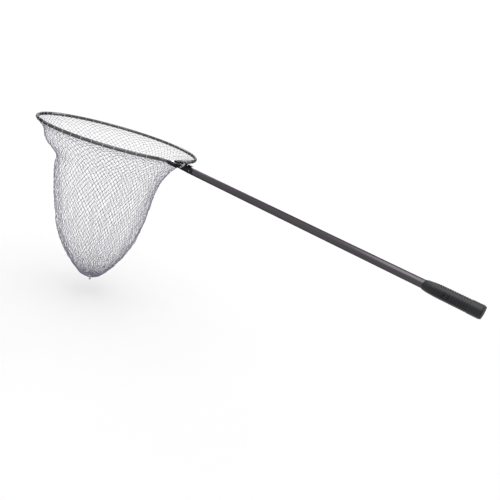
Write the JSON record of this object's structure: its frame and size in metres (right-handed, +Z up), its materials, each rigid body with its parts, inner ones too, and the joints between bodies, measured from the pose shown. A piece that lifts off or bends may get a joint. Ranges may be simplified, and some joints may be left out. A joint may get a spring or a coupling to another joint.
{
  "type": "landing net",
  "caption": "Folding landing net: round tubular hoop with a deep knotted net bag, on a telescopic tube handle with a ribbed grip.",
  "frame": {"origin": "on the handle's axis, in the middle of the smooth band at the butt of the grip", "axes": "-X along the handle from the grip to the hoop, +Z up from the level hoop, with the bag hanging to -Z"},
  "size_m": [1.7122, 0.6146, 0.642],
  "materials": {
    "tube": "satin anodised",
    "hoop": "satin anodised",
    "moulding": "moulded",
    "cap": "moulded",
    "inner_plastic": "moulded",
    "grip": "moulded",
    "steel": "bright",
    "twine": "twisted twine",
    "netting": "knotted monofilament"
  },
  "bodies": {
    "handle": {"outer_tube": "tube", "mouth_bush": "moulding", "grip_sleeve": "grip", "butt_cap": "cap"},
    "expander": {"expander_ring": "inner_plastic"},
    "pole": {"inner_tube": "tube", "cam_plug": "inner_plastic", "expander_washer": "steel", "expander_screw": "steel", "hinge_socket": "moulding", "cheek_strap_near": "steel", "cheek_strap_far": "steel", "cheek_rivets": "steel", "socket_pin": "steel", "hinge_pin": "steel", "lever_pin": "steel", "lever_spring": "steel"},
    "lever": {"release_lever": "moulding", "release_loop": "steel"},
    "head": {"yoke": "moulding", "yoke_plate_near": "steel", "yoke_plate_far": "steel", "hoop_tube": "hoop", "arm_rivets": "steel", "head_rope": "twine", "lashings": "twine", "net_bag": "netting", "bottom_tie": "twine"}
  },
  "joints": [
    {"name": "pole_slide", "type": "slide", "parent": "handle", "child": "expander", "axis": [-1, 0, 0], "range_m": [0, 0.8]},
    {"name": "pole_twist", "type": "hinge", "parent": "expander", "child": "pole", "pos_m": [-0.058, 0, 0], "axis": [1, 0, 0], "range_deg": [0, 90]},
    {"name": "lever_press", "type": "hinge", "parent": "pole", "child": "lever", "pos_m": [-0.983, 0, 0.0156], "axis": [0, 1, 0], "range_deg": [0, 9], "stiffness_Nm_per_rad": 0.05, "springref_deg": -11.46, "deforming": ["lever_spring"]},
    {"name": "head_fold", "type": "hinge", "parent": "pole", "child": "head", "pos_m": [-0.995, 0, 0.014], "axis": [0, 1, 0], "range_deg": [0, 180]}
  ]
}
